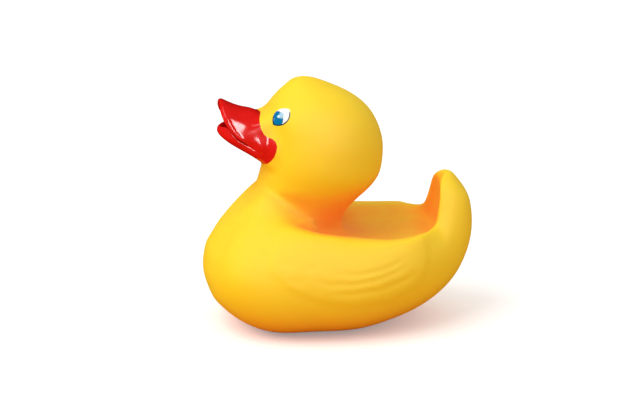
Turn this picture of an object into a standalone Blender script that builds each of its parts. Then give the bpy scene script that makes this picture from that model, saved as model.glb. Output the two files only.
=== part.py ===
"""Hollow vinyl bath duck, moulded in one piece, with an open beak, a dished back and a vent in its base.

Metres, +Z up. The duck faces -Y, stands on z = 0 and is symmetric about x = 0. Its skin is one coarse
cage of half the duck, mirrored and subdivided, and the cavity is the same cage without the beak, set in
by the wall. Points in the tables lie on the finished skin, in millimetres for a duck 104 mm long.
"""

from math import cos, radians, sin

import bmesh
import bpy
from mathutils import Vector

LENGTH = 0.1071  # chest to tail
DRAWN_LENGTH = 107.1  # what the tables are drawn for
UNIT = LENGTH / DRAWN_LENGTH

WALL = 0.0016
VENT_RADIUS = 0.0022
VENT_SIDES = 24
SLAB_SIZE = 0.3
SLAB_DEPTH = 0.02
VENT_Y = -0.006
SKIN_LEVELS = 1
CAVITY_LEVELS = 1
FIT_ROUNDS = 2
WING_RAISE = 0.7  # how far the moulded wings stand out of the flanks

YELLOW = (0.93, 0.56, 0.01, 1.0)
RED = (0.72, 0.02, 0.015, 1.0)

# Body sections, chest to tail: outer point and rim point (y, z) in the mirror plane, how far up from the
# outer point to the rim the back lies, half widths of the back and of the rim, how far up the widest line
# lies, its half width.
BODY_SECTIONS = (
    ((-49.0, 10.8), (-50.4, 30.0), 1.28, 7.6, 12.8, 0.58, 19.6),
    ((-40.6, 3.8), (-45.0, 37.4), 1.03, 15.0, 20.0, 0.57, 30.4),
    ((-28.0, -1.0), (-31.6, 44.6), 1.00, 18.5, 23.0, 0.50, 36.3),
    ((-15.0, -1.2), (-19.0, 45.6), 0.94, 21.0, 25.4, 0.50, 38.2),
    ((-4.5, -1.2), (-7.0, 42.6), 0.92, 19.5, 26.8, 0.52, 38.6),
    ((6.0, -0.8), (4.5, 40.5), 0.90, 14.5, 27.2, 0.56, 37.8),
    ((16.5, 1.6), (13.5, 39.4), 0.86, 19.0, 27.8, 0.58, 35.6),
    ((27.8, 5.2), (22.5, 39.3), 0.84, 19.0, 27.0, 0.60, 32.0),
    ((37.8, 10.8), (30.0, 40.0), 0.84, 16.0, 23.0, 0.60, 27.4),
    ((45.6, 17.8), (35.8, 41.0), 0.80, 10.5, 15.6, 0.57, 21.4),
    ((50.9, 27.0), (37.4, 44.6), 0.80, 8.6, 12.6, 0.57, 17.0),
    ((53.2, 37.4), (38.4, 49.0), 0.82, 7.6, 11.0, 0.57, 14.0),
    ((52.2, 48.0), (39.2, 54.0), 0.90, 6.0, 8.6, 0.55, 11.2),
)
CHEST_FRONT = (-53.6, 22.5)
TAIL_TIP = (44.8, 58.6)
HULL_ANGLES = (30, 56, 75, 90)
HULL_FULLNESS = 2.3

# Where the neck meets the body and its first ring, front to back: level with the shoulder in front, sunk
# behind it.
NECK_FOOT = (
    (0, -43.6, 44.2), (8.5, -42.6, 44.6), (14.6, -37.4, 46.4), (18.4, -27.2, 49.2), (19.0, -17.0, 43.4),
    (16.4, -11.0, 38.6), (12.6, -4.6, 37.2), (6.8, 1.2, 36.2), (0, 3.6, 36.2),
)
NECK_RING = (
    (0, -35.2, 51.4), (7.0, -34.6, 52.0), (12.2, -31.4, 54.0), (14.4, -24.6, 52.4), (13.4, -16.4, 47.8),
    (13.8, -10.8, 45.2), (10.8, -4.6, 43.6), (5.9, 0.4, 43.0), (0, 2.0, 43.0),
)
# Head rings up to the crown: front point and back point (y, z), half width.
HEAD_RINGS = (
    ((-32.0, 57.4), (6.6, 49.0), 17.2),
    ((-30.8, 61.6), (12.3, 54.5), 20.4),
    ((-30.6, 65.6), (16.1, 60.0), 23.0),
    ((-30.6, 69.0), (17.3, 66.0), 23.9),
    ((-30.5, 71.0), (17.5, 71.5), 24.0),
    ((-30.3, 73.5), (16.6, 76.5), 23.8),
    ((-30.1, 79.5), (14.4, 82.0), 22.5),
    ((-29.8, 85.2), (10.8, 87.0), 20.0),
    ((-25.4, 90.6), (5.2, 91.4), 16.0),
    ((-20.8, 95.2), (-2.0, 95.0), 9.5),
)
CROWN = (-13.0, 98.6)
HEAD_ANGLES = (0, 15, 31, 50, 72, 96, 122, 150, 180)

# The beak grows from the head rings and columns below, along an axis tilted up from the horizontal.
BEAK_ROWS = range(3, 9)
BEAK_COLUMNS = 3
BEAK_ORIGIN = (-30.0, 72.0)
BEAK_TILT = 31
# Bill sections, root to tip: distance along the axis, lean per height, sweep of the edge, half width, then
# the heights of ridge, lip and palate, or of floor, lip and keel.
UPPER_BILL = (
    (9.8, 0.14, 0.0, 12.0, 10.9, -0.7, 2.6),
    (13.4, 0.05, 0.2, 11.9, 9.6, -0.7, 3.4),
    (17.2, 0.00, 0.5, 11.0, 8.7, 0.5, 4.7),
    (20.6, 0.00, 0.5, 9.4, 8.3, 2.4, 5.5),
    (22.6, 0.00, 0.3, 6.6, 8.1, 4.6, 6.5),
)
LOWER_BILL = (
    (7.6, 0.80, 0.0, 10.8, -3.0, -1.0, -5.3),
    (11.6, 0.10, 0.2, 10.2, -3.2, -0.6, -5.2),
    (15.2, 0.10, 0.6, 8.6, -2.6, -0.2, -4.8),
    (18.5, 0.10, 1.2, 5.8, -1.2, 0.4, -3.7),
)
THROAT = ((2.0, -0.8, 0.0), (3.4, -1.0, 6.0), (7.2, -1.4, 10.9))


def mix(a, b, share):
    return tuple(p + (q - p) * share for p, q in zip(a, b))


def swell(angle, fullness):
    """Cosine and sine of a superellipse, which is fuller than a circle above 2."""
    power = 2 / fullness
    return (abs(cos(radians(angle))) ** power, abs(sin(radians(angle))) ** power)


def body_section(outer, rim, back, back_width, rim_width, widest, half_width):
    """Half a body section, ten points from the middle of the back to the keel."""
    shares = [(back, 0), (back + 0.08 * (1 - back), 0.52 * back_width)]
    shares.append((back + 0.35 * (1 - back), back_width))
    shares.append((1, rim_width))
    shares.append((1 + (widest - 1) * 0.45, rim_width + (half_width - rim_width) * 0.74))
    shares.append((widest, half_width))
    half_width += WING_RAISE
    shares[-1] = (widest, half_width)
    for angle in HULL_ANGLES:
        across, down = swell(angle, HULL_FULLNESS)
        shares.append((widest * (1 - down), half_width * across * (angle < 90)))
    points = []
    for share, x in shares:
        y, z = mix(outer, rim, share)
        points.append((x, y, z))
    return points


def head_ring(front, back, half_width, angles):
    """Half an oval ring, from the front of the head to its back."""
    points = []
    for angle in angles:
        y, z = mix(front, back, (1 - cos(radians(angle))) / 2)
        points.append((half_width * sin(radians(angle)) if 0 < angle < 180 else 0.0, y, z))
    return points


def beak_point(along, height, x):
    tilt = radians(BEAK_TILT)
    y = BEAK_ORIGIN[0] - along * cos(tilt) + height * sin(tilt)
    z = BEAK_ORIGIN[1] + along * sin(tilt) + height * cos(tilt)
    return (x, y, z)


def bill_section(along, lean, sweep, half_width, top, lip, bottom, shape):
    """Points of half a bill section: shape gives each point's share of the width and its height."""
    points = []
    for across, height in shape:
        back = sweep * across**2 * 2 + lean * (max(top, lip) - height)
        points.append(beak_point(along - back, height, half_width * across))
    return points


def upper_section(along, lean, sweep, half_width, ridge, lip, palate):
    """Ridge, shoulder, side, lip's outer edge, lip's inner edge, palate's side and palate."""
    tall = ridge - lip
    shape = ((0, ridge), (0.52, ridge - 0.10 * tall), (0.87, lip + 0.60 * tall), (1, lip + 0.22 * tall))
    shape += ((0.985, lip), (0.56, lip + 0.66 * (palate - lip)), (0, palate))
    return bill_section(along, lean, sweep, half_width, ridge, lip, palate, shape)


def lower_section(along, lean, sweep, half_width, floor, lip, keel):
    """Floor, floor's side, lip's inner edge, lip's outer edge, keel's side and keel."""
    tall = lip - keel
    shape = ((0, floor), (0.55, floor + 0.35 * (lip - floor)), (0.985, lip), (1, keel + 0.55 * tall))
    shape += ((0.58, keel + 0.12 * tall), (0, keel))
    return bill_section(along, lean, sweep, half_width, floor, lip, keel, shape)


class Cage:
    """Half the duck as points in millimetres and faces."""

    def __init__(self):
        self.points = []
        self.faces = []
        self.red = set()

    def add(self, points):
        first = len(self.points)
        self.points.extend(points)
        return list(range(first, first + len(points)))

    def skin(self, loop, other):
        """Faces between two open loops with as many points."""
        for n in range(len(loop) - 1):
            self.faces.append((loop[n], loop[n + 1], other[n + 1], other[n]))

    def cap(self, loop, apex):
        """Closes a half loop with a dome, two faces across."""
        deep = len(loop) - 5
        flat_middle = mix(self.points[loop[0]], self.points[loop[-1]], 0.5)
        rise = [a - b for a, b in zip((0.0, *apex), flat_middle)]
        rows = [loop[0:3]]
        for row in range(1, deep):
            middle = mix(self.points[loop[0]], self.points[loop[-1]], row / deep)
            side = self.points[loop[2 + row]]
            domed = 1 - (2 * row / deep - 1) ** 2
            centre = [m + r * domed for m, r in zip(middle, rise)]
            between = [(m + s) / 2 + r * domed * 0.75 for m, s, r in zip(middle, side, rise)]
            rows.append([*self.add([centre, between]), loop[2 + row]])
        rows.append(loop[:-4:-1])
        for upper, lower in zip(rows, rows[1:]):
            self.skin(upper, lower)


def add_body(cage):
    """The body's grid, with the neck's foot as a hole in its back. Returns that hole's loop."""
    foot = NECK_FOOT
    rows = []
    for number, section in enumerate(BODY_SECTIONS):
        points = body_section(*section)
        if number == 1:
            points[0:3] = foot[0:3]
        elif number in (2, 3, 4):
            points[2] = foot[number + 1]
        elif number == 5:
            points[0:3] = [foot[8], foot[7], foot[6]]
        under_neck = number in (2, 3, 4)
        rows.append([None, None, *cage.add(points[2:])] if under_neck else cage.add(points))
    for number, (row, after) in enumerate(zip(rows, rows[1:])):
        first = 2 if number in (1, 2, 3, 4) else 0
        cage.skin(row[first:], after[first:])
    cage.cap(rows[0], CHEST_FRONT)
    cage.cap(rows[-1], TAIL_TIP)
    return [*rows[1][0:3], rows[2][2], rows[3][2], rows[4][2], *rows[5][2::-1]]


def add_head(cage, foot, open_for_beak):
    """Neck and head on the foot's loop. Returns the edge of the beak's hole, chin to brow."""
    hidden = BEAK_ROWS[1:-1] if open_for_beak else ()
    rings = []
    head = [head_ring(*ring, HEAD_ANGLES) for ring in HEAD_RINGS]
    for number, points in enumerate([NECK_RING, *head]):
        first = BEAK_COLUMNS - 1 if number in hidden else 0
        rings.append([None] * first + cage.add(points[first:]))
    cage.skin(foot, rings[0])
    for number, (ring, after) in enumerate(zip(rings, rings[1:])):
        in_beak = open_for_beak and number in BEAK_ROWS[:-1]
        first = BEAK_COLUMNS - 1 if in_beak else 0
        cage.skin(ring[first:], after[first:])
    cage.cap(rings[-1], CROWN)
    side = [rings[number][BEAK_COLUMNS - 1] for number in BEAK_ROWS]
    return [*rings[BEAK_ROWS[0]][: BEAK_COLUMNS - 1], *side, *rings[BEAK_ROWS[-1]][BEAK_COLUMNS - 2 :: -1]]


def add_beak(cage, edge):
    """Both bills, open between, from the edge of the hole in the head."""
    before = len(cage.faces)
    upper = [cage.add(upper_section(*section)) for section in UPPER_BILL]
    lower = [cage.add(lower_section(*section)) for section in LOWER_BILL]
    throat = cage.add([beak_point(*point) for point in THROAT])
    roof, ground = upper[0], lower[0]
    root = [ground[5], ground[4], ground[3], ground[2], throat[2], roof[4], roof[3], roof[2], roof[1], roof[0]]
    cage.skin(edge, root)
    cage.skin(ground[0:3], throat)
    cage.skin(throat, [roof[6], roof[5], roof[4]])
    for bill in (upper, lower):
        for section, after in zip(bill, bill[1:]):
            cage.skin(section, after)
    tip = upper[-1]
    points = [cage.points[n] for n in tip]
    ahead = beak_point(0.9, 0, 0)
    nose = [p - q for p, q in zip(ahead, beak_point(0, 0, 0))]
    front = [[m + n for m, n in zip(mix(points[a], points[b], 0.5), nose)] for a, b in ((0, 6), (1, 5))]
    front = [*cage.add(front), tip[3]]
    cage.skin(tip[0:3], front)
    cage.skin(front, [tip[6], tip[5], tip[4]])
    tip = lower[-1]
    cage.skin(tip[0:3], [tip[5], tip[4], tip[3]])
    cage.red = set(range(before, len(cage.faces)))


def mesh_of(cage, name):
    mesh = bpy.data.meshes.new(name)
    mesh.from_pydata([Vector(p) * UNIT for p in cage.points], [], cage.faces)
    for polygon in mesh.polygons:
        polygon.material_index = int(polygon.index in cage.red)
        polygon.use_smooth = True
    return mesh


def add_modifier(obj, kind, **settings):
    modifier = obj.modifiers.new(kind.title(), kind)
    for name, value in settings.items():
        setattr(modifier, name, value)
    return modifier


def fit_to_points(obj):
    """Moves the cage until the smooth skin passes through the cage's first points."""
    targets = [v.co.copy() for v in obj.data.vertices]
    smooth = add_modifier(obj, "SUBSURF", levels=1, render_levels=1)
    for _ in range(FIT_ROUNDS):
        graph = bpy.context.evaluated_depsgraph_get()
        reached = [v.co.copy() for v in obj.evaluated_get(graph).data.vertices[: len(targets)]]
        for vertex, target, at in zip(obj.data.vertices, targets, reached):
            vertex.co += target - at
            if target.x == 0:
                vertex.co.x = 0
        obj.data.update()
    obj.modifiers.remove(smooth)


def half_cage(name, collection, with_beak):
    cage = Cage()
    foot = add_body(cage)
    edge = add_head(cage, foot, with_beak)
    if with_beak:
        add_beak(cage, edge)
    obj = bpy.data.objects.new(name, mesh_of(cage, name))
    collection.objects.link(obj)
    mesh = bmesh.new()
    mesh.from_mesh(obj.data)
    bmesh.ops.recalc_face_normals(mesh, faces=mesh.faces)
    mesh.to_mesh(obj.data)
    mesh.free()
    add_modifier(obj, "MIRROR", merge_threshold=1e-6)
    fit_to_points(obj)
    return obj


def paint(name, colour, roughness):
    material = bpy.data.materials.new(name)
    material.use_nodes = True
    shader = material.node_tree.nodes["Principled BSDF"]
    shader.inputs["Base Color"].default_value = colour
    shader.inputs["Roughness"].default_value = roughness
    shader.inputs["Metallic"].default_value = 0.0
    return material


def as_cutter(obj):
    obj.hide_render = True
    obj.display_type = "WIRE"
    return obj


def make_cavity(cutters):
    """The hollow inside: the skin without its beak, set in by the wall."""
    cavity = as_cutter(half_cage("cavity", cutters, with_beak=False))
    add_modifier(cavity, "SUBSURF", levels=CAVITY_LEVELS, render_levels=CAVITY_LEVELS)
    add_modifier(cavity, "DISPLACE", strength=-WALL, mid_level=0.0, direction="NORMAL")
    floor = make_slab("cavity_floor", WALL, cutters)
    add_modifier(cavity, "BOOLEAN", operation="DIFFERENCE", object=floor)
    return cavity


def make_slab(name, top, cutters):
    """A slab that takes away everything below the height `top`."""
    half = SLAB_SIZE / 2
    mesh = bpy.data.meshes.new(name)
    square = ((-half, -half), (half, -half), (half, half), (-half, half))
    corners = [(x, y, z) for z in (top - SLAB_DEPTH, top) for x, y in square]
    sides = [(a, (a + 1) % 4, (a + 1) % 4 + 4, a + 4) for a in range(4)]
    mesh.from_pydata(corners, [], [(3, 2, 1, 0), (4, 5, 6, 7), *sides])
    slab = as_cutter(bpy.data.objects.new(name, mesh))
    cutters.objects.link(slab)
    return slab


def make_vent(cutters):
    """A round hole through the base, from below the ground into the hollow."""
    bpy.ops.mesh.primitive_cylinder_add(
        vertices=VENT_SIDES, radius=VENT_RADIUS, depth=6 * WALL, location=(0, VENT_Y, 0)
    )
    vent = as_cutter(bpy.context.object)
    vent.name = "vent"
    for holder in list(vent.users_collection):
        holder.objects.unlink(vent)
    cutters.objects.link(vent)
    return vent


def make_duck(parts, cutters):
    duck = half_cage("duck_body", parts, with_beak=True)
    duck.data.materials.append(paint("yellow_vinyl", YELLOW, 0.45))
    duck.data.materials.append(paint("red_beak_paint", RED, 0.2))
    add_modifier(
        duck, "SUBSURF", levels=SKIN_LEVELS, render_levels=SKIN_LEVELS, use_limit_surface=False
    )
    ground = make_slab("ground", 0.0, cutters)
    for cutter in (ground, make_cavity(cutters), make_vent(cutters)):
        add_modifier(duck, "BOOLEAN", operation="DIFFERENCE", object=cutter)
    return duck


def main():
    for obj in list(bpy.data.objects):
        bpy.data.objects.remove(obj)
    parts = bpy.data.collections.new("rubber_duck")
    cutters = bpy.data.collections.new("cutters")
    for collection in (parts, cutters):
        bpy.context.scene.collection.children.link(collection)
    make_duck(parts, cutters)


main()
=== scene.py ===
import math

import bmesh
import bpy
import numpy as np
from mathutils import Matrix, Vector
from mathutils.bvhtree import BVHTree


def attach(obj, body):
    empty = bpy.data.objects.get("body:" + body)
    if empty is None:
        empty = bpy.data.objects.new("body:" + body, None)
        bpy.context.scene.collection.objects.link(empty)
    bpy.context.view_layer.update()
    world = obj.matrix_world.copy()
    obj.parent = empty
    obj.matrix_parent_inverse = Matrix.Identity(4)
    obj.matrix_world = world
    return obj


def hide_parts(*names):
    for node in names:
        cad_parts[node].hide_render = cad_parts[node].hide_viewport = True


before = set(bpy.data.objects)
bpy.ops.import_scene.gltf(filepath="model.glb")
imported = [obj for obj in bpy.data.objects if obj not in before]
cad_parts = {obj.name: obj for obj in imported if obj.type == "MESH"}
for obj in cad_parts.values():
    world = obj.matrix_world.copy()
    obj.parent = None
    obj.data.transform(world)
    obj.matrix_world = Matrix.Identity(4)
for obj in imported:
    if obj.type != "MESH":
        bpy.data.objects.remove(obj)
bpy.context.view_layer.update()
mm = 0.001


def hexColour(text):
    parts = [int(text[n:n + 2], 16) / 255 for n in (1, 3, 5)]
    linear = [p / 12.92 if p <= 0.04045 else ((p + 0.055) / 1.055) ** 2.4 for p in parts]
    return (*linear, 1.0)


def addNode(tree, kind, settings=None, inputs=None):
    node = tree.nodes.new(kind)
    for name, value in (settings or {}).items():
        setattr(node, name, value)
    for key, value in (inputs or {}).items():
        if isinstance(value, bpy.types.NodeSocket):
            tree.links.new(value, node.inputs[key])
        else:
            node.inputs[key].default_value = value
    return node


def mix(a, b, share):
    return tuple(p + (q - p) * share for p, q in zip(a, b))


def deselectAll():
    if bpy.context.object and bpy.context.object.mode != "OBJECT":
        bpy.ops.object.mode_set(mode="OBJECT")
    bpy.ops.object.select_all(action="DESELECT")


# The skin is half a cage, grown strip by strip, mirrored and smoothed. Points are (x, y, z) in millimetres
# on the finished skin, and the duck faces -y.

skinShape = {
    # outer point, rim point, back's share of the way up, back and rim half widths, widest share, half width
    "bodySections": (
        ((-49.0, 10.8), (-50.4, 30.0), 1.28, 7.6, 12.8, 0.58, 19.6),
        ((-40.6, 3.8), (-45.0, 37.4), 1.03, 15.0, 20.0, 0.57, 30.4),
        ((-28.0, -1.0), (-31.6, 44.6), 1.00, 18.5, 23.0, 0.50, 36.3),
        ((-15.0, -1.2), (-19.0, 45.6), 0.94, 21.0, 25.4, 0.50, 38.2),
        ((-4.5, -1.2), (-7.0, 42.6), 0.92, 19.5, 26.8, 0.52, 38.6),
        ((6.0, -0.8), (4.5, 40.5), 0.90, 14.5, 27.2, 0.56, 37.8),
        ((16.5, 1.6), (13.5, 39.4), 0.86, 19.0, 27.8, 0.58, 35.6),
        ((27.8, 5.2), (22.5, 39.3), 0.84, 19.0, 27.0, 0.60, 32.0),
        ((37.8, 10.8), (30.0, 40.0), 0.84, 16.0, 23.0, 0.60, 27.4),
        ((45.6, 17.8), (35.8, 41.0), 0.80, 10.5, 15.6, 0.57, 21.4),
        ((50.9, 27.0), (37.4, 44.6), 0.80, 8.6, 12.6, 0.57, 17.0),
        ((53.2, 37.4), (38.4, 49.0), 0.82, 7.6, 11.0, 0.57, 14.0),
        ((52.2, 48.0), (39.2, 54.0), 0.90, 6.0, 8.6, 0.55, 11.2),
    ),
    "chestFront": (-53.6, 22.5),
    "tailTip": (44.8, 58.6),
    "hullAngles": (30, 56, 75, 90),
    "hullFullness": 2.3,
    # where the neck meets the body, front to back (x, y, z): level with the shoulder in front, sunk behind it
    "neckFoot": (
        (0, -43.6, 44.2), (8.5, -42.6, 44.6), (14.6, -37.4, 46.4), (18.4, -27.2, 49.2), (19.0, -17.0, 43.4),
        (16.4, -11.0, 38.6), (12.6, -4.6, 37.2), (6.8, 1.2, 36.2), (0, 3.6, 36.2),
    ),
    "neckRing": (
        (0, -35.2, 51.4), (7.0, -34.6, 52.0), (12.2, -31.4, 54.0), (14.4, -24.6, 52.4), (13.4, -16.4, 47.8),
        (13.8, -10.8, 45.2), (10.8, -4.6, 43.6), (5.9, 0.4, 43.0), (0, 2.0, 43.0),
    ),
    "headRings": (
        ((-32.0, 57.4), (6.6, 49.0), 17.2),
        ((-30.8, 61.6), (12.3, 54.5), 20.4),
        ((-30.6, 65.6), (16.1, 60.0), 23.0),
        ((-30.6, 69.0), (17.3, 66.0), 23.9),
        ((-30.5, 71.0), (17.5, 71.5), 24.0),
        ((-30.3, 73.5), (16.6, 76.5), 23.8),
        ((-30.1, 79.5), (14.4, 82.0), 22.5),
        ((-29.8, 85.2), (10.8, 87.0), 20.0),
        ((-25.4, 90.6), (5.2, 91.4), 16.0),
        ((-20.8, 95.2), (-2.0, 95.0), 9.5),
    ),
    "crown": (-13.0, 98.6),
    "headAngles": (0, 15, 31, 50, 72, 96, 122, 150, 180),
    "levels": 3,
    "fitRounds": 2,
    "keptShare": 0.7,  # of the finished skin's triangles
}

beakShape = {
    "rows": range(3, 9),
    "columns": 3,
    "origin": (-30.0, 72.0),
    "tilt": 31,
    "upper": (  # along, lean, sweep, half width, ridge, lip, palate
        (9.8, 0.14, 0.0, 12.0, 10.9, -0.7, 2.6),
        (13.4, 0.05, 0.2, 11.9, 9.6, -0.7, 3.4),
        (17.2, 0.00, 0.5, 11.0, 8.7, 0.5, 4.7),
        (20.6, 0.00, 0.5, 9.4, 8.3, 2.4, 5.5),
        (22.6, 0.00, 0.3, 6.6, 8.1, 4.6, 6.5),
    ),
    "lower": (  # along, lean, sweep, half width, floor, lip, keel
        (7.6, 0.80, 0.0, 10.8, -3.0, -1.0, -5.3),
        (11.6, 0.10, 0.2, 10.2, -3.2, -0.6, -5.2),
        (15.2, 0.10, 0.6, 8.6, -2.6, -0.2, -4.8),
        (18.5, 0.10, 1.2, 5.8, -1.2, 0.4, -3.7),
    ),
    "throat": ((2.0, -0.8, 0.0), (3.4, -1.0, 6.0), (7.2, -1.4, 10.9)),
}


def swell(angle, fullness):
    power = 2 / fullness  # above 2 the curve is fuller than a circle
    return abs(math.cos(math.radians(angle))) ** power, abs(math.sin(math.radians(angle))) ** power


def bodySection(outer, rim, back, backWidth, rimWidth, widest, halfWidth):
    shares = [(back, 0), (back + 0.08 * (1 - back), 0.52 * backWidth), (back + 0.35 * (1 - back), backWidth)]
    shares += [(1, rimWidth), (1 + (widest - 1) * 0.45, rimWidth + (halfWidth - rimWidth) * 0.74)]
    shares.append((widest, halfWidth))
    for angle in skinShape["hullAngles"]:
        across, down = swell(angle, skinShape["hullFullness"])
        shares.append((widest * (1 - down), halfWidth * across * (angle < 90)))
    points = []
    for share, x in shares:
        y, z = mix(outer, rim, share)
        points.append((x, y, z))
    return points


def headRing(front, back, halfWidth, angles):
    points = []
    for angle in angles:
        y, z = mix(front, back, (1 - math.cos(math.radians(angle))) / 2)
        points.append((halfWidth * math.sin(math.radians(angle)) if 0 < angle < 180 else 0.0, y, z))
    return points


def beakPoint(along, height, x):
    tilt = math.radians(beakShape["tilt"])
    y = beakShape["origin"][0] - along * math.cos(tilt) + height * math.sin(tilt)
    z = beakShape["origin"][1] + along * math.sin(tilt) + height * math.cos(tilt)
    return (x, y, z)


def billSection(along, lean, sweep, halfWidth, high, outline):
    points = []
    for across, height in outline:
        back = sweep * across ** 2 * 2 + lean * (high - height)
        points.append(beakPoint(along - back, height, halfWidth * across))
    return points


def upperSection(along, lean, sweep, halfWidth, ridge, lip, palate):
    tall = ridge - lip
    outline = [(0, ridge), (0.52, ridge - 0.10 * tall), (0.87, lip + 0.60 * tall), (1, lip + 0.22 * tall)]
    outline += [(0.985, lip), (0.56, lip + 0.66 * (palate - lip)), (0, palate)]
    return billSection(along, lean, sweep, halfWidth, ridge, outline)


def lowerSection(along, lean, sweep, halfWidth, floor, lip, keel):
    tall = lip - keel
    outline = [(0, floor), (0.55, floor + 0.35 * (lip - floor)), (0.985, lip), (1, keel + 0.55 * tall)]
    outline += [(0.58, keel + 0.12 * tall), (0, keel)]
    return billSection(along, lean, sweep, halfWidth, lip, outline)


def grow(rows):
    mesh = bmesh.from_edit_mesh(bpy.context.object.data)
    for element in (*mesh.verts, *mesh.edges, *mesh.faces):
        element.select = False
    chain = [nearest(mesh.verts, point) for point in rows[0]]
    for vert, after in zip(chain, chain[1:]):
        edge = mesh.edges.get((vert, after))
        edge.select = True
    for before, row in zip(rows, rows[1:]):
        bpy.ops.mesh.extrude_edges_move()
        mesh = bmesh.from_edit_mesh(bpy.context.object.data)
        fresh = [vert for vert in mesh.verts if vert.select]
        placed = [(nearest(fresh, old), new) for old, new in zip(before, row)]
        for vert, new in placed:
            vert.co = Vector(new) * mm
    bpy.ops.mesh.select_all(action="SELECT")
    bpy.ops.mesh.remove_doubles(threshold=1e-7)


def openHole(rows):
    # takes out the faces between these rows of points
    bpy.ops.mesh.select_mode(type="FACE")
    mesh = bmesh.from_edit_mesh(bpy.context.object.data)
    inside = {nearest(mesh.verts, point).index for row in rows for point in row}
    for face in mesh.faces:
        face.select = all(vert.index in inside for vert in face.verts)
    bpy.ops.mesh.delete(type="FACE")
    bpy.ops.mesh.select_mode(type="VERT")
    bpy.ops.mesh.select_all(action="DESELECT")
    bpy.ops.mesh.select_loose()
    bpy.ops.mesh.delete(type="VERT")
    bpy.ops.mesh.select_mode(type="EDGE")


def nearest(verts, point):
    place = Vector(point) * mm
    found = min(verts, key=lambda vert: (vert.co - place).length_squared)
    if (found.co - place).length > 1e-6:
        raise ValueError("no cage point at " + str(point))
    return found


def capRows(loop, apex):
    deep = len(loop) - 5
    middleAll = mix(loop[0], loop[-1], 0.5)
    rise = [a - b for a, b in zip((0.0, *apex), middleAll)]
    rows = [loop[0:3]]
    for row in range(1, deep):
        middle = mix(loop[0], loop[-1], row / deep)
        side = loop[2 + row]
        domed = 1 - (2 * row / deep - 1) ** 2
        centre = tuple(m + r * domed for m, r in zip(middle, rise))
        between = tuple((m + s) / 2 + r * domed * 0.75 for m, s, r in zip(middle, side, rise))
        rows.append([centre, between, side])
    rows.append(loop[:-4:-1])
    return rows


def growBody():
    sections = [bodySection(*section) for section in skinShape["bodySections"]]
    foot = [*skinShape["neckFoot"]]
    sections[1][0:3] = foot[0:3]
    for number in (2, 3, 4):
        sections[number][2] = foot[number + 1]
    sections[5][0:3] = [foot[8], foot[7], foot[6]]
    columns, rows = len(sections[0]), len(sections)
    bpy.ops.mesh.primitive_grid_add(x_subdivisions=columns - 1, y_subdivisions=rows - 1, size=1)
    skin = bpy.context.object
    skin.name = "duckSkin"
    for number, vert in enumerate(skin.data.vertices):
        vert.co = Vector(sections[number // columns][number % columns]) * mm
    bpy.ops.object.mode_set(mode="EDIT")
    openHole([section[:3] for section in sections[1:6]])
    grow(capRows(sections[0], skinShape["chestFront"]))
    grow(capRows(sections[-1], skinShape["tailTip"]))
    return foot


def growHead(foot):
    angles = skinShape["headAngles"]
    rings = [skinShape["neckRing"], *(headRing(*ring, angles) for ring in skinShape["headRings"])]
    first, last = beakShape["rows"][0], beakShape["rows"][-1]
    column = beakShape["columns"] - 1
    grow([foot, *rings])
    openHole([ring[:column + 1] for ring in rings[first:last + 1]])
    grow(capRows(rings[-1], skinShape["crown"]))
    sides = [rings[number][column] for number in beakShape["rows"]]
    return [*rings[first][:column], *sides, *rings[last][column - 1::-1]]


def growBeak(edge):
    upper = [upperSection(*section) for section in beakShape["upper"]]
    lower = [lowerSection(*section) for section in beakShape["lower"]]
    throat = [beakPoint(*point) for point in beakShape["throat"]]
    roof, ground = upper[0], lower[0]
    root = [*ground[5:1:-1], throat[2], *roof[4::-1]]
    grow([edge, root])
    grow([root[3:6], [ground[1], throat[1], roof[5]], [ground[0], throat[0], roof[6]]])
    grow(upper)
    grow(lower)
    tip = upper[-1]
    ahead = Vector(beakPoint(0.9, 0, 0)) - Vector(beakPoint(0, 0, 0))
    front = [tuple(Vector(mix(tip[a], tip[b], 0.5)) + ahead) for a, b in ((0, 6), (1, 5))]
    grow([tip[0:3], [*front, tip[3]], [tip[6], tip[5], tip[4]]])
    tip = lower[-1]
    grow([tip[0:3], [tip[5], tip[4], tip[3]]])


def fitCage(skin):
    targets = [vert.co.copy() for vert in skin.data.vertices]
    smooth = skin.modifiers.new("Subdivision", "SUBSURF")
    smooth.levels = smooth.render_levels = 2
    for _ in range(skinShape["fitRounds"]):
        evaluated = skin.evaluated_get(bpy.context.evaluated_depsgraph_get())
        reached = [vert.co.copy() for vert in evaluated.data.vertices[:len(targets)]]
        for vert, target, place in zip(skin.data.vertices, targets, reached):
            vert.co += target - place
            if target.z == 0:
                vert.co.z = 0
            if target.x == 0:
                vert.co.x = 0
        skin.data.update()
    skin.modifiers.remove(smooth)


def applyModifier(piece, kind, **settings):
    modifier = piece.modifiers.new(kind.title(), kind)
    for name, value in settings.items():
        setattr(modifier, name, value)
    bpy.context.view_layer.objects.active = piece
    bpy.ops.object.modifier_apply(modifier=modifier.name)


def makeSkin():
    deselectAll()
    foot = growBody()
    edge = growHead(foot)
    growBeak(edge)
    bpy.ops.object.mode_set(mode="OBJECT")
    skin = bpy.context.object
    mirror = skin.modifiers.new("Mirror", "MIRROR")
    mirror.merge_threshold = 1e-6
    fitCage(skin)
    bpy.ops.object.modifier_apply(modifier=mirror.name)
    bpy.ops.object.mode_set(mode="EDIT")
    bpy.ops.mesh.select_all(action="SELECT")
    bpy.ops.mesh.normals_make_consistent(inside=False)
    bpy.ops.object.mode_set(mode="OBJECT")
    levels = skinShape["levels"]
    applyModifier(skin, "SUBSURF", levels=levels, render_levels=levels)
    bpy.ops.object.shade_smooth()
    print("skin:", len(skin.data.polygons), "faces", tuple(round(d / mm, 1) for d in skin.dimensions))
    return skin


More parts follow.
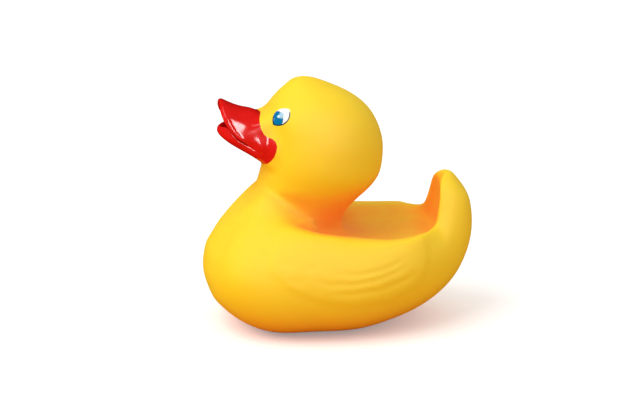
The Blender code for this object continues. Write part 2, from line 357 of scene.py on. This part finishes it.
# places rubbed smoother after subdividing: middle and reach in mm, x being the distance to either side
rubbedPlaces = {
    "chest": {"middle": (6, -52, 34), "reach": (20, 13, 14), "passes": 60},
    "shoulder hollow": {"middle": (16, -18, 46), "reach": (18, 18, 14), "passes": 90},
}
rubbing = {"core": 0.35, "factor": 0.5}  # the core is the share of the reach that gets the full effect


def readVectors(skin, name):
    values = np.empty(len(skin.data.vertices) * 3)
    skin.data.vertices.foreach_get(name, values)
    return values.reshape(-1, 3)


def rubSmooth(skin):
    folded = readVectors(skin, "co") / mm
    folded[:, 0] = np.abs(folded[:, 0])
    for name, place in rubbedPlaces.items():
        away = np.linalg.norm((folded - place["middle"]) / place["reach"], axis=1)
        weights = 1 - smoothStep(rubbing["core"], 1.0, away)
        group = skin.vertex_groups.new(name=name)
        for index in np.flatnonzero(weights > 0):
            group.add([int(index)], float(weights[index]), "REPLACE")
        passes = place["passes"]
        applyModifier(skin, "SMOOTH", factor=rubbing["factor"], iterations=passes, vertex_group=name)
        skin.vertex_groups.remove(skin.vertex_groups[name])
        print("rubbed smooth:", name)


# Relief and paint are drawn on a plane that faces the camera's place, in perspective as seen from there, and
# folded over so that both sides are the same. It stays with the duck when the camera moves.
sidePlane = {
    "height": 48.0,
    "distance": 900.0,
    "toward": (0.952, -0.134, 0.2756),
    "right": (0.139, 0.990, 0.0),
    "up": (-0.273, 0.038, 0.961),
}


def sideView(points):
    folded = np.stack([np.abs(points[:, 0]), points[:, 1], points[:, 2] - sidePlane["height"]], 1)
    grown = sidePlane["distance"] / (sidePlane["distance"] - folded @ sidePlane["toward"])
    return np.stack([folded @ sidePlane["right"] * grown, folded @ sidePlane["up"] * grown], 1)


def distanceToLine(points, line):
    line = np.array(line, float)
    best = np.full(len(points), 1e9)
    share = np.zeros(len(points))
    lengths = np.linalg.norm(np.diff(line, axis=0), axis=1)
    total = lengths.sum()
    before = 0.0
    for a, b, length in zip(line, line[1:], lengths):
        t = np.clip(((points - a) @ (b - a)) / length ** 2, 0, 1)
        gap = np.linalg.norm(points - (a + t[:, None] * (b - a)), axis=1)
        closer = gap < best
        share[closer] = ((before + t * length) / total)[closer]
        best = np.minimum(best, gap)
        before += length
    return best, share


def insideOf(points, outline):
    outline = np.array(outline, float)
    inside = np.zeros(len(points), bool)
    for a, b in zip(outline, np.roll(outline, -1, axis=0)):
        crosses = (a[1] > points[:, 1]) != (b[1] > points[:, 1])
        at = (b[0] - a[0]) * (points[:, 1] - a[1]) / (b[1] - a[1] + 1e-12) + a[0]
        inside ^= crosses & (points[:, 0] < at)
    return inside


def smoothStep(low, high, value):
    t = np.clip((value - low) / (high - low), 0, 1)
    return t * t * (3 - 2 * t)


def signedTo(points, outline):
    gap, _ = distanceToLine(points, [*outline, outline[0]])
    return np.where(insideOf(points, outline), gap, -gap)


wingMarks = {
    "outline": (
        (-22, -12), (-27, -20), (-27, -28), (-20, -35), (-8, -40), (6, -42), (22, -39.5), (31, -34),
        (35, -28), (35.8, -21), (35.4, -16), (33, -10), (10, -5), (-12, -2),
    ),
    "raise": 0.55,
    "flankTop": 45,  # the marks stay below this height and outside this half width
    "flankInner": 14,
    "grooves": (
        (((-2, -28.4), (8.3, -29.3), (14.6, -28), (21.3, -26), (27.2, -22.1)), 0.28),
        (((-12.2, -31.1), (-2.8, -33.1), (5.9, -33.1), (14.6, -31.4), (22.4, -28.4), (29.5, -24.1)), 0.3),
        (((-5.1, -36.3), (5.1, -36.8), (16.9, -35), (26.4, -31.1), (32.7, -26.8)), 0.3),
        (((-24, -23), (-19, -25.5), (-15, -23.5)), 0.18),
        (((-15, -23.5), (-11.5, -27), (-7, -25)), 0.18),
        (((-20, -30), (-15.5, -32.5), (-12, -30)), 0.18),
        (((-19, -18.5), (-14.5, -19.5), (-11, -17)), 0.15),
    ),
    "grooveWidth": 1.1,
}

# soft bumps and dips: centre, reach each way, height
beakMarks = (
    ((13.6, -26.2, 73.4), (4.4, 2.6, 4.8), 1.55),  # cheek
    ((12.8, -31.4, 73.6), (4.2, 2.8, 4.6), 1.25),
    ((11.3, -39.4, 82.4), (6.0, 4.2, 5.4), -0.75),  # the hollow in the bill's side, inside its lip
)


billLip = {
    "line": (
        (-45.9, 39.6), (-45.2, 36.0), (-43.9, 32.8), (-42.2, 29.6),
        (-40.4, 26.8), (-38.2, 24.6), (-35.6, 23.0),
    ),
    "width": 0.7,
    "height": 0.35,
}


def sculptSkin(skin):
    points = readVectors(skin, "co") / mm
    normals = readVectors(skin, "normal")
    seen = sideView(points)
    flank = smoothStep(0.15, 0.45, np.abs(normals[:, 0])) * (points[:, 2] < wingMarks["flankTop"])
    flank = flank * (np.abs(points[:, 0]) > wingMarks["flankInner"])
    inside = signedTo(seen, wingMarks["outline"])
    push = wingMarks["raise"] * smoothStep(-1.6, 2.6, inside) * flank
    for line, depth in wingMarks["grooves"]:
        gap, share = distanceToLine(seen, line)
        fade = smoothStep(0, 0.25, share) * smoothStep(0, 0.2, 1 - share)
        push -= depth * np.exp(-(gap / wingMarks["grooveWidth"]) ** 2) * fade * flank
    for centre, radii, height in beakMarks:
        away = (np.abs(points[:, 0:1]) * [1, 0, 0] + points * [0, 1, 1] - centre) / radii
        push += height * np.exp(-(away ** 2).sum(1))
    gap, share = distanceToLine(seen, billLip["line"])
    fade = smoothStep(0, 0.15, share) * smoothStep(0, 0.3, 1 - share)
    fade *= smoothStep(0.3, 0.6, np.abs(normals[:, 0]))
    push += billLip["height"] * np.exp(-(gap / billLip["width"]) ** 2) * fade
    points += normals * push[:, None]
    skin.data.vertices.foreach_set("co", (points * mm).ravel())
    skin.data.update()
    print("relief pushed out up to", round(float(push.max()), 2), "mm")


def flattenBase(skin):
    for vert in skin.data.vertices:
        vert.co.z = max(vert.co.z, 0.0)
    print("base flat", sum(vert.co.z == 0 for vert in skin.data.vertices), "points")


ventHole = {"place": (0, -6, 0), "radius": 2.2, "depth": 6, "sides": 48}


def cutVent(skin):
    deselectAll()
    place = Vector(ventHole["place"]) * mm
    sides, radius, depth = ventHole["sides"], ventHole["radius"] * mm, ventHole["depth"] * mm
    bpy.ops.mesh.primitive_cylinder_add(vertices=sides, radius=radius, depth=depth, location=place)
    drill = bpy.context.object
    applyModifier(skin, "BOOLEAN", operation="DIFFERENCE", solver="EXACT", object=drill)
    bpy.data.objects.remove(drill)
    print("vent cut, now", len(skin.data.polygons), "faces")


beakPaint = {
    "edge": (
        (-30.2, 60), (-30.2, 37.0), (-30.6, 34.4), (-30.9, 32.2), (-30.7, 30.0), (-30.1, 28.0), (-29.0, 26.1),
        (-27.7, 25.0), (-25.9, 24.5), (-24.5, 23.3), (-23.9, 21.4), (-24.3, 19.2), (-25.0, 17.3),
        (-26.4, 15.5),
        (-28.2, 14.4), (-29.3, 14.5), (-31.0, 15.4), (-34, 10), (-70, 10), (-70, 60),
    ),
}

# how much hides each place, which sets the painted shade and painted bounce light: rays spread by the golden
# angle, how much the ground counts, how far they reach
paintedShadeRays = {"rays": 48, "turn": 2.399963, "ground": 0.42, "reach": 70.0, "lift": 0.2}


def storeValues(skin, name, values):
    attribute = skin.data.attributes.new(name, "FLOAT", "POINT")
    attribute.data.foreach_set("value", np.asarray(values, np.float32))


# measures how hidden each point is by the duck itself and the ground; the material paints shade and orange
# bounce light from it
def markPaintedShade(skin):
    rays = paintedShadeRays["rays"]
    turns = np.arange(rays) * paintedShadeRays["turn"]
    heights = (np.arange(rays) + 0.5) / rays
    spread = []
    for turn, height in zip(turns, heights):
        out = math.sqrt(1 - height)
        spread.append(Vector((math.cos(turn) * out, math.sin(turn) * out, math.sqrt(height))))
    tree = BVHTree.FromPolygons([v.co for v in skin.data.vertices], [p.vertices for p in skin.data.polygons])
    reach = paintedShadeRays["reach"] * mm
    paintedShade = []
    for vert in skin.data.vertices:
        turn = vert.normal.to_track_quat("Z", "Y")
        start = vert.co + vert.normal * paintedShadeRays["lift"] * mm
        hits = 0.0
        for ray in spread:
            way = turn @ ray
            gap = tree.ray_cast(start, way, reach)[3]
            if gap is not None:
                hits += 1 - gap / reach
            elif way.z < -0.05:
                hits += paintedShadeRays["ground"] * (1 - min(1.0, start.z / -way.z / reach))
        paintedShade.append(hits / rays)
    storeValues(skin, "paintedShade", paintedShade)
    print("shelter up to", round(max(paintedShade), 2))


def markSides(skin):
    seen = sideView(readVectors(skin, "co") / mm)
    storeValues(skin, "sideU", seen[:, 0])
    storeValues(skin, "sideV", seen[:, 1])
    storeValues(skin, "beakPaint", signedTo(seen, beakPaint["edge"]))
    print("side plane stored for", len(seen), "points")


eyeLook = {
    "centre": (-22.3, 33.0),  # on the side plane, mm
    "tilt": 43,
    "radius": 4.75,  # of the two arcs that make the almond
    "offset": 1.75,
    "iris": (-1.6, -0.75),
    "irisSize": (2.35, 3.2),
    # painted highlights on the iris: the glint and the pale shine patch stand in for reflections in the
    # enamel
    "glint": (-1.05, 0.25),
    "glintSize": (0.7, 0.7),
    "irisShine": (0.05, 0.75),
    "irisShineSize": (1.1, 1.5),
    "outline": 0.5,
}

duckColours = {
    "vinyl": "#FED400",
    # painted shade: the orange that stands in for bounce light and shade in the hollows and low down
    "paintedShadeVinyl": "#FF9A14",
    "beak": "#DC1712",
    "eyeWhite": "#F4F7F6",
    "iris": "#0074B0",
    # painted highlights on the iris
    "irisShine": "#A9D3EA",
    "glint": "#CFF6FA",
    "eyeLine": "#0A3642",
}

vinylLook = {
    "roughness": 0.68,
    "shelteredRoughness": 0.85,
    "paintRoughness": 0.16,
    # the range over which the painted shade fades in
    "paintedShadeStart": 0.05,  # how hidden a place is when it starts to turn orange, and when it is fully so
    "paintedShadeEnd": 0.5,
    "glow": 0.15,  # light carried under the skin
    "glowDepth": 4.0,
    "grain": 1.1,  # size of the mould's fine pitting, drawn a little coarse so that it shows
    "grainDepth": 0.03,
    "cloud": 28,  # size of the drifts in tone
}


def makeDuckMaterial():
    # soft PVC cast in a spinning mould: an even satin skin with fine pitting, with painted shade and painted
    # bounce light that turn it orange where it faces itself or the ground; the beak and eyes are sprayed on
    # in enamel, which fills the pitting and shines like wet paint
    material = bpy.data.materials.new("rotocast vinyl with sprayed enamel")
    material.use_nodes = True
    tree = material.node_tree
    shader = tree.nodes["Principled BSDF"]
    soft = {"interpolation_type": "SMOOTHSTEP"}
    colourMix = {"data_type": "RGBA"}
    turned = {"vector_type": "TEXTURE"}

    # the eye, drawn on the side plane, with a painted highlight and a painted glint on the iris
    u = addNode(tree, "ShaderNodeAttribute", {"attribute_name": "sideU"})
    v = addNode(tree, "ShaderNodeAttribute", {"attribute_name": "sideV"})
    place = addNode(tree, "ShaderNodeCombineXYZ", {}, {"X": u.outputs["Fac"], "Y": v.outputs["Fac"]})
    middle = (*eyeLook["centre"], 0)
    slanted = addNode(
        tree, "ShaderNodeMapping", turned,
        {"Vector": place.outputs[0], "Location": middle, "Rotation": (0, 0, math.radians(eyeLook["tilt"]))},
    )
    folded = addNode(tree, "ShaderNodeVectorMath", {"operation": "ABSOLUTE"}, {0: slanted.outputs[0]})
    shifted = addNode(
        tree, "ShaderNodeVectorMath", {"operation": "ADD"},
        {0: folded.outputs[0], 1: (0, eyeLook["offset"], 0)},
    )
    almond = addNode(tree, "ShaderNodeVectorMath", {"operation": "LENGTH"}, {0: shifted.outputs[0]})
    edge = eyeLook["radius"]
    eye = addNode(
        tree, "ShaderNodeMapRange", soft,
        {"Value": almond.outputs["Value"], "From Min": edge + 0.08, "From Max": edge - 0.08},
    )
    edge -= eyeLook["outline"]
    rim = addNode(
        tree, "ShaderNodeMapRange", soft,
        {"Value": almond.outputs["Value"], "From Min": edge - 0.12, "From Max": edge + 0.12},
    )
    above = addNode(
        tree, "ShaderNodeVectorMath", {"operation": "DOT_PRODUCT"},
        {0: slanted.outputs[0], 1: (0.55, 1, 0)},
    )
    below = addNode(
        tree, "ShaderNodeMapRange", soft,
        {"Value": above.outputs["Value"], "From Min": 1.9, "From Max": 0.7},
    )
    line = addNode(
        tree, "ShaderNodeMath", {"operation": "MULTIPLY"},
        {0: rim.outputs[0], 1: below.outputs[0]},
    )
    colour = hexColour(duckColours["eyeWhite"])
    # the iris, then the painted highlight and the painted glint over it
    for name, edge, blur in (("iris", 1.0, 0.06), ("irisShine", 0.8, 0.35), ("glint", 0.8, 0.3)):
        spot = [a + b for a, b in zip(middle, (*eyeLook[name], 0))]
        fitted = addNode(
            tree, "ShaderNodeMapping", turned,
            {"Vector": place.outputs[0], "Location": spot, "Scale": (*eyeLook[name + "Size"], 1)},
        )
        away = addNode(tree, "ShaderNodeVectorMath", {"operation": "LENGTH"}, {0: fitted.outputs[0]})
        share = addNode(
            tree, "ShaderNodeMapRange", soft,
            {"Value": away.outputs["Value"], "From Min": edge + blur, "From Max": edge - blur},
        )
        colour = addNode(
            tree, "ShaderNodeMix", colourMix,
            {0: share.outputs[0], 6: colour, 7: hexColour(duckColours[name])},
        ).outputs[2]
    eyeColour = addNode(
        tree, "ShaderNodeMix", colourMix,
        {0: line.outputs[0], 6: colour, 7: hexColour(duckColours["eyeLine"])},
    )

    # the vinyl, with painted shade: orange where the skin is hidden by itself or the ground, with cloudy
    # edges
    paintedShade = addNode(tree, "ShaderNodeAttribute", {"attribute_name": "paintedShade"})
    here = addNode(tree, "ShaderNodeTexCoord")
    cloud = addNode(
        tree, "ShaderNodeTexNoise", {},
        {"Vector": here.outputs["Object"], "Scale": 1 / (vinylLook["cloud"] * mm), "Detail": 3.0},
    )
    drift = addNode(
        tree, "ShaderNodeMapRange", {},
        {"Value": cloud.outputs["Fac"], "To Min": -0.04, "To Max": 0.04},
    )
    hidden = addNode(
        tree, "ShaderNodeMath", {"operation": "ADD"},
        {0: paintedShade.outputs["Fac"], 1: drift.outputs[0]},
    )
    deep = addNode(
        tree, "ShaderNodeMapRange", soft,
        {
            "Value": hidden.outputs[0],
            "From Min": vinylLook["paintedShadeStart"], "From Max": vinylLook["paintedShadeEnd"],
        },
    )
    vinyl = addNode(
        tree, "ShaderNodeMix", colourMix,
        {0: deep.outputs[0], 6: hexColour(duckColours["vinyl"]), 7: hexColour(duckColours["paintedShadeVinyl"])},
    )
    dull = addNode(
        tree, "ShaderNodeMapRange", {},
        {
            "Value": deep.outputs[0], "To Min": vinylLook["roughness"],
            "To Max": vinylLook["shelteredRoughness"],
        },
    )

    # paint over it
    gap = addNode(tree, "ShaderNodeAttribute", {"attribute_name": "beakPaint"})
    beak = addNode(
        tree, "ShaderNodeMapRange", soft,
        {"Value": gap.outputs["Fac"], "From Min": -0.12, "From Max": 0.12},
    )
    colour = addNode(
        tree, "ShaderNodeMix", colourMix,
        {0: beak.outputs[0], 6: vinyl.outputs[2], 7: hexColour(duckColours["beak"])},
    )
    colour = addNode(
        tree, "ShaderNodeMix", colourMix,
        {0: eye.outputs[0], 6: colour.outputs[2], 7: eyeColour.outputs[2]},
    )
    painted = addNode(
        tree, "ShaderNodeMath", {"operation": "MAXIMUM"},
        {0: beak.outputs[0], 1: eye.outputs[0]},
    )
    rough = addNode(
        tree, "ShaderNodeMapRange", {},
        {"Value": painted.outputs[0], "To Min": dull.outputs[0], "To Max": vinylLook["paintRoughness"]},
    )
    glow = addNode(
        tree, "ShaderNodeMapRange", {},
        {"Value": painted.outputs[0], "To Min": vinylLook["glow"], "To Max": 0.0},
    )
    pits = addNode(
        tree, "ShaderNodeTexNoise", {},
        {"Vector": here.outputs["Object"], "Scale": 1 / (vinylLook["grain"] * mm), "Detail": 2.0},
    )
    bare = addNode(
        tree, "ShaderNodeMapRange", {},
        {"Value": painted.outputs[0], "To Min": 1.0, "To Max": 0.0},
    )
    grain = addNode(
        tree, "ShaderNodeBump", {},
        {
            "Strength": bare.outputs[0], "Distance": vinylLook["grainDepth"] * mm,
            "Height": pits.outputs["Fac"],
        },
    )
    tree.links.new(grain.outputs[0], shader.inputs["Normal"])
    tree.links.new(colour.outputs[2], shader.inputs["Base Color"])
    tree.links.new(rough.outputs[0], shader.inputs["Roughness"])
    tree.links.new(glow.outputs[0], shader.inputs["Subsurface Weight"])
    shader.inputs["Subsurface Radius"].default_value = (1.0, 0.45, 0.1)
    shader.inputs["Subsurface Scale"].default_value = vinylLook["glowDepth"] * mm
    shader.inputs["IOR"].default_value = 1.5
    return material


stageLook = {
    "floorSize": 3.0,
    "floorColour": "#FAFAF8",
    "thrownColour": "#E2B060",  # what the floor throws back on the toy
    "skyColour": "#FFFFFF",
    "strength": 0.75,
    "ownLight": 0.25,  # of the floor
}


def makeFloor():
    # matt card, near-white to look at, which throws a warmer light back on the toy
    deselectAll()
    bpy.ops.mesh.primitive_plane_add(size=stageLook["floorSize"])
    floor = bpy.context.object
    floor.name = "floor"
    material = bpy.data.materials.new("matt white card")
    material.use_nodes = True
    shader = material.node_tree.nodes["Principled BSDF"]
    ray = addNode(material.node_tree, "ShaderNodeLightPath")
    seen, thrown = hexColour(stageLook["floorColour"]), hexColour(stageLook["thrownColour"])
    tone = addNode(
        material.node_tree, "ShaderNodeMix", {"data_type": "RGBA"},
        {0: ray.outputs["Is Diffuse Ray"], 6: seen, 7: thrown},
    )
    material.node_tree.links.new(tone.outputs[2], shader.inputs["Base Color"])
    shader.inputs["Roughness"].default_value = 0.9
    # its own light is only seen directly and falls on nothing, which keeps the shadow pale
    share = addNode(
        material.node_tree, "ShaderNodeMath", {"operation": "MULTIPLY"},
        {0: ray.outputs["Is Camera Ray"], 1: stageLook["ownLight"]},
    )
    material.node_tree.links.new(share.outputs[0], shader.inputs["Emission Strength"])
    shader.inputs["Emission Color"].default_value = seen
    shader.inputs["Specular IOR Level"].default_value = 0.1
    floor.data.materials.append(material)
    floor.visible_glossy = False
    print("floor laid")


lampShapes = {
    "window": {"place": (0.35, -0.6, 0.8), "size": 0.9, "power": 6.5, "aim": (0, 0, 0.05), "lights": True},
    # a card lamp that only shows as a reflection in the enamel
    "beakGlow": {
        "place": (0.386, 0.136, 0.362), "size": 0.17, "power": 1.6,
        "aim": (0.01, -0.04, 0.08), "lights": False,
    },
    "cheekGlow": {
        "place": (0.46, -0.13, 0.25), "size": 0.12, "power": 0.9,
        "aim": (0.01, -0.03, 0.076), "lights": False,
    },
}


def makeLights():
    world = bpy.context.scene.world or bpy.data.worlds.new("studio")
    bpy.context.scene.world = world
    world.use_nodes = True
    sky = world.node_tree.nodes["Background"]
    sky.inputs["Color"].default_value = hexColour(stageLook["skyColour"])
    sky.inputs["Strength"].default_value = stageLook["strength"]
    world.cycles_visibility.glossy = False  # reflections show the lamps alone
    for name, lamp in lampShapes.items():
        bpy.ops.object.light_add(type="AREA", location=lamp["place"])
        light = bpy.context.object
        light.name = name
        light.data.shape = "SQUARE"
        light.data.size = lamp["size"]
        light.data.energy = lamp["power"]
        light.visible_diffuse = lamp["lights"]
        aim = Vector(lamp["aim"]) - light.location
        light.rotation_euler = aim.to_track_quat("-Z", "Y").to_euler()
    print("lamps hung:", len(lampShapes))


cameraPlace = {
    "azimuth": 82,
    "elevation": 16,
    "distance": 0.9,
    "target": (0, 0, 0.048),
    "perMetre": 2540,
    "centre": (338, 201),
    "image": (640, 400),
    "sensor": 36,
    "nearest": 0.01,
}


def makeCamera():
    around, above = math.radians(cameraPlace["azimuth"]), math.radians(cameraPlace["elevation"])
    out = Vector((math.sin(around) * math.cos(above), -math.cos(around) * math.cos(above), math.sin(above)))
    data = bpy.data.cameras.new("camera")
    camera = bpy.data.objects.new("camera", data)
    bpy.context.scene.collection.objects.link(camera)
    camera.location = Vector(cameraPlace["target"]) + out * cameraPlace["distance"]
    camera.rotation_euler = (-out).to_track_quat("-Z", "Y").to_euler()
    wide, high = cameraPlace["image"]
    data.sensor_width = cameraPlace["sensor"]
    data.lens = cameraPlace["sensor"] * cameraPlace["perMetre"] * cameraPlace["distance"] / wide
    data.shift_x = -(cameraPlace["centre"][0] - wide / 2) / wide
    data.shift_y = (cameraPlace["centre"][1] - high / 2) / wide
    data.clip_start = cameraPlace["nearest"]
    bpy.context.scene.camera = camera
    print("camera placed")


skin = makeSkin()
rubSmooth(skin)
# how hidden each point is, for the painted shade
markPaintedShade(skin)
applyModifier(skin, "SUBSURF", levels=1, render_levels=1)
sculptSkin(skin)
flattenBase(skin)
cutVent(skin)
# thinned evenly on both sides, keeping most faces where the surface bends
applyModifier(skin, "DECIMATE", ratio=skinShape["keptShare"], use_symmetry=True, symmetry_axis="X")
print("thinned:", sum(len(face.vertices) - 2 for face in skin.data.polygons), "triangles")
markSides(skin)
skin.data.materials.append(makeDuckMaterial())
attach(skin, "root")
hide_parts("duck_body")
makeFloor()
makeLights()
makeCamera()
bpy.context.scene.view_settings.view_transform = "Standard"
